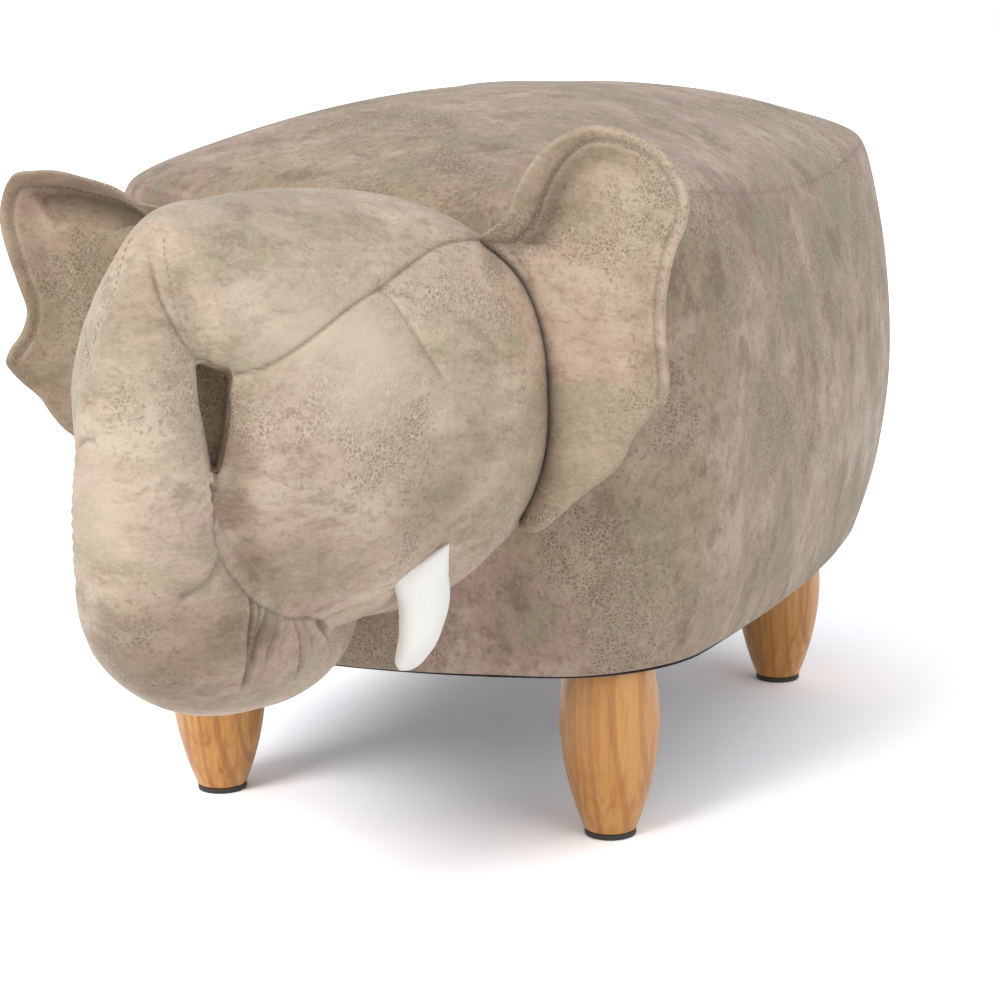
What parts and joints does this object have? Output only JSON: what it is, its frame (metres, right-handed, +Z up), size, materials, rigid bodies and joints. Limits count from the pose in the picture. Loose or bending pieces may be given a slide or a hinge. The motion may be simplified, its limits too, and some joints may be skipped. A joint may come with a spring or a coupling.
{
  "type": "animal footstool",
  "caption": "Low upholstered footstool shaped like an elephant, with a crowned barrel seat, a stuffed head with curled trunk, padded ears, tusks and turned wooden legs.",
  "frame": {"origin": "on the floor, under the middle of the whole stool from the trunk's front to the tail", "axes": "+Z up, the elephant faces -Y, its left side is +X"},
  "size_m": [0.377, 0.7386, 0.3797],
  "materials": {
    "body_leather": "mottled, distressed, matte with a soft sheen",
    "head_leather": "mottled, distressed, matte with a soft sheen",
    "tuft_suede": "napped",
    "tusk_felt": "matte felt",
    "dust_cloth": "matte non-woven",
    "backing_cloth": "matte woven",
    "foam": "open-cell foam",
    "fibre_stuffing": "loose fibre",
    "plywood": "raw",
    "frame_timber": "raw sawn",
    "leg_wood": "clear lacquer, satin",
    "glide_plastic": "matte",
    "zinc_steel": "zinc plated"
  },
  "bodies": {
    "root": {"base_board": "plywood", "base_screws": "zinc_steel", "bottom_staples": "zinc_steel", "dust_cover": "dust_cloth", "forehead_panel": "head_leather", "front_left_glide": "glide_plastic", "front_left_leg": "leg_wood", "front_left_post": "frame_timber", "front_rail": "frame_timber", "front_right_glide": "glide_plastic", "front_right_leg": "leg_wood", "front_right_post": "frame_timber", "glide_nails": "zinc_steel", "hanger_bolts": "zinc_steel", "head_back_panel": "backing_cloth", "head_bolts": "zinc_steel", "head_nuts": "zinc_steel", "head_plate": "plywood", "head_stuffing": "fibre_stuffing", "left_cheek_panel": "head_leather", "left_ear_back": "head_leather", "left_ear_front": "head_leather", "left_ear_pad": "fibre_stuffing", "left_tusk": "tusk_felt", "rail_screws": "zinc_steel", "rear_left_glide": "glide_plastic", "rear_left_leg": "leg_wood", "rear_left_post": "frame_timber", "rear_right_glide": "glide_plastic", "rear_right_leg": "leg_wood", "rear_right_post": "frame_timber", "right_cheek_panel": "head_leather", "right_ear_back": "head_leather", "right_ear_front": "head_leather", "right_ear_pad": "fibre_stuffing", "right_tusk": "tusk_felt", "seat_board": "plywood", "seat_cover": "body_leather", "seat_foam": "foam", "seat_screws": "zinc_steel", "side_cover": "body_leather", "side_foam": "foam", "side_wall": "plywood", "t_nuts": "zinc_steel", "tail": "head_leather", "tail_tuft": "tuft_suede", "trunk_cover": "head_leather", "trunk_stuffing": "fibre_stuffing", "wall_nails": "zinc_steel"}
  },
  "joints": []
}
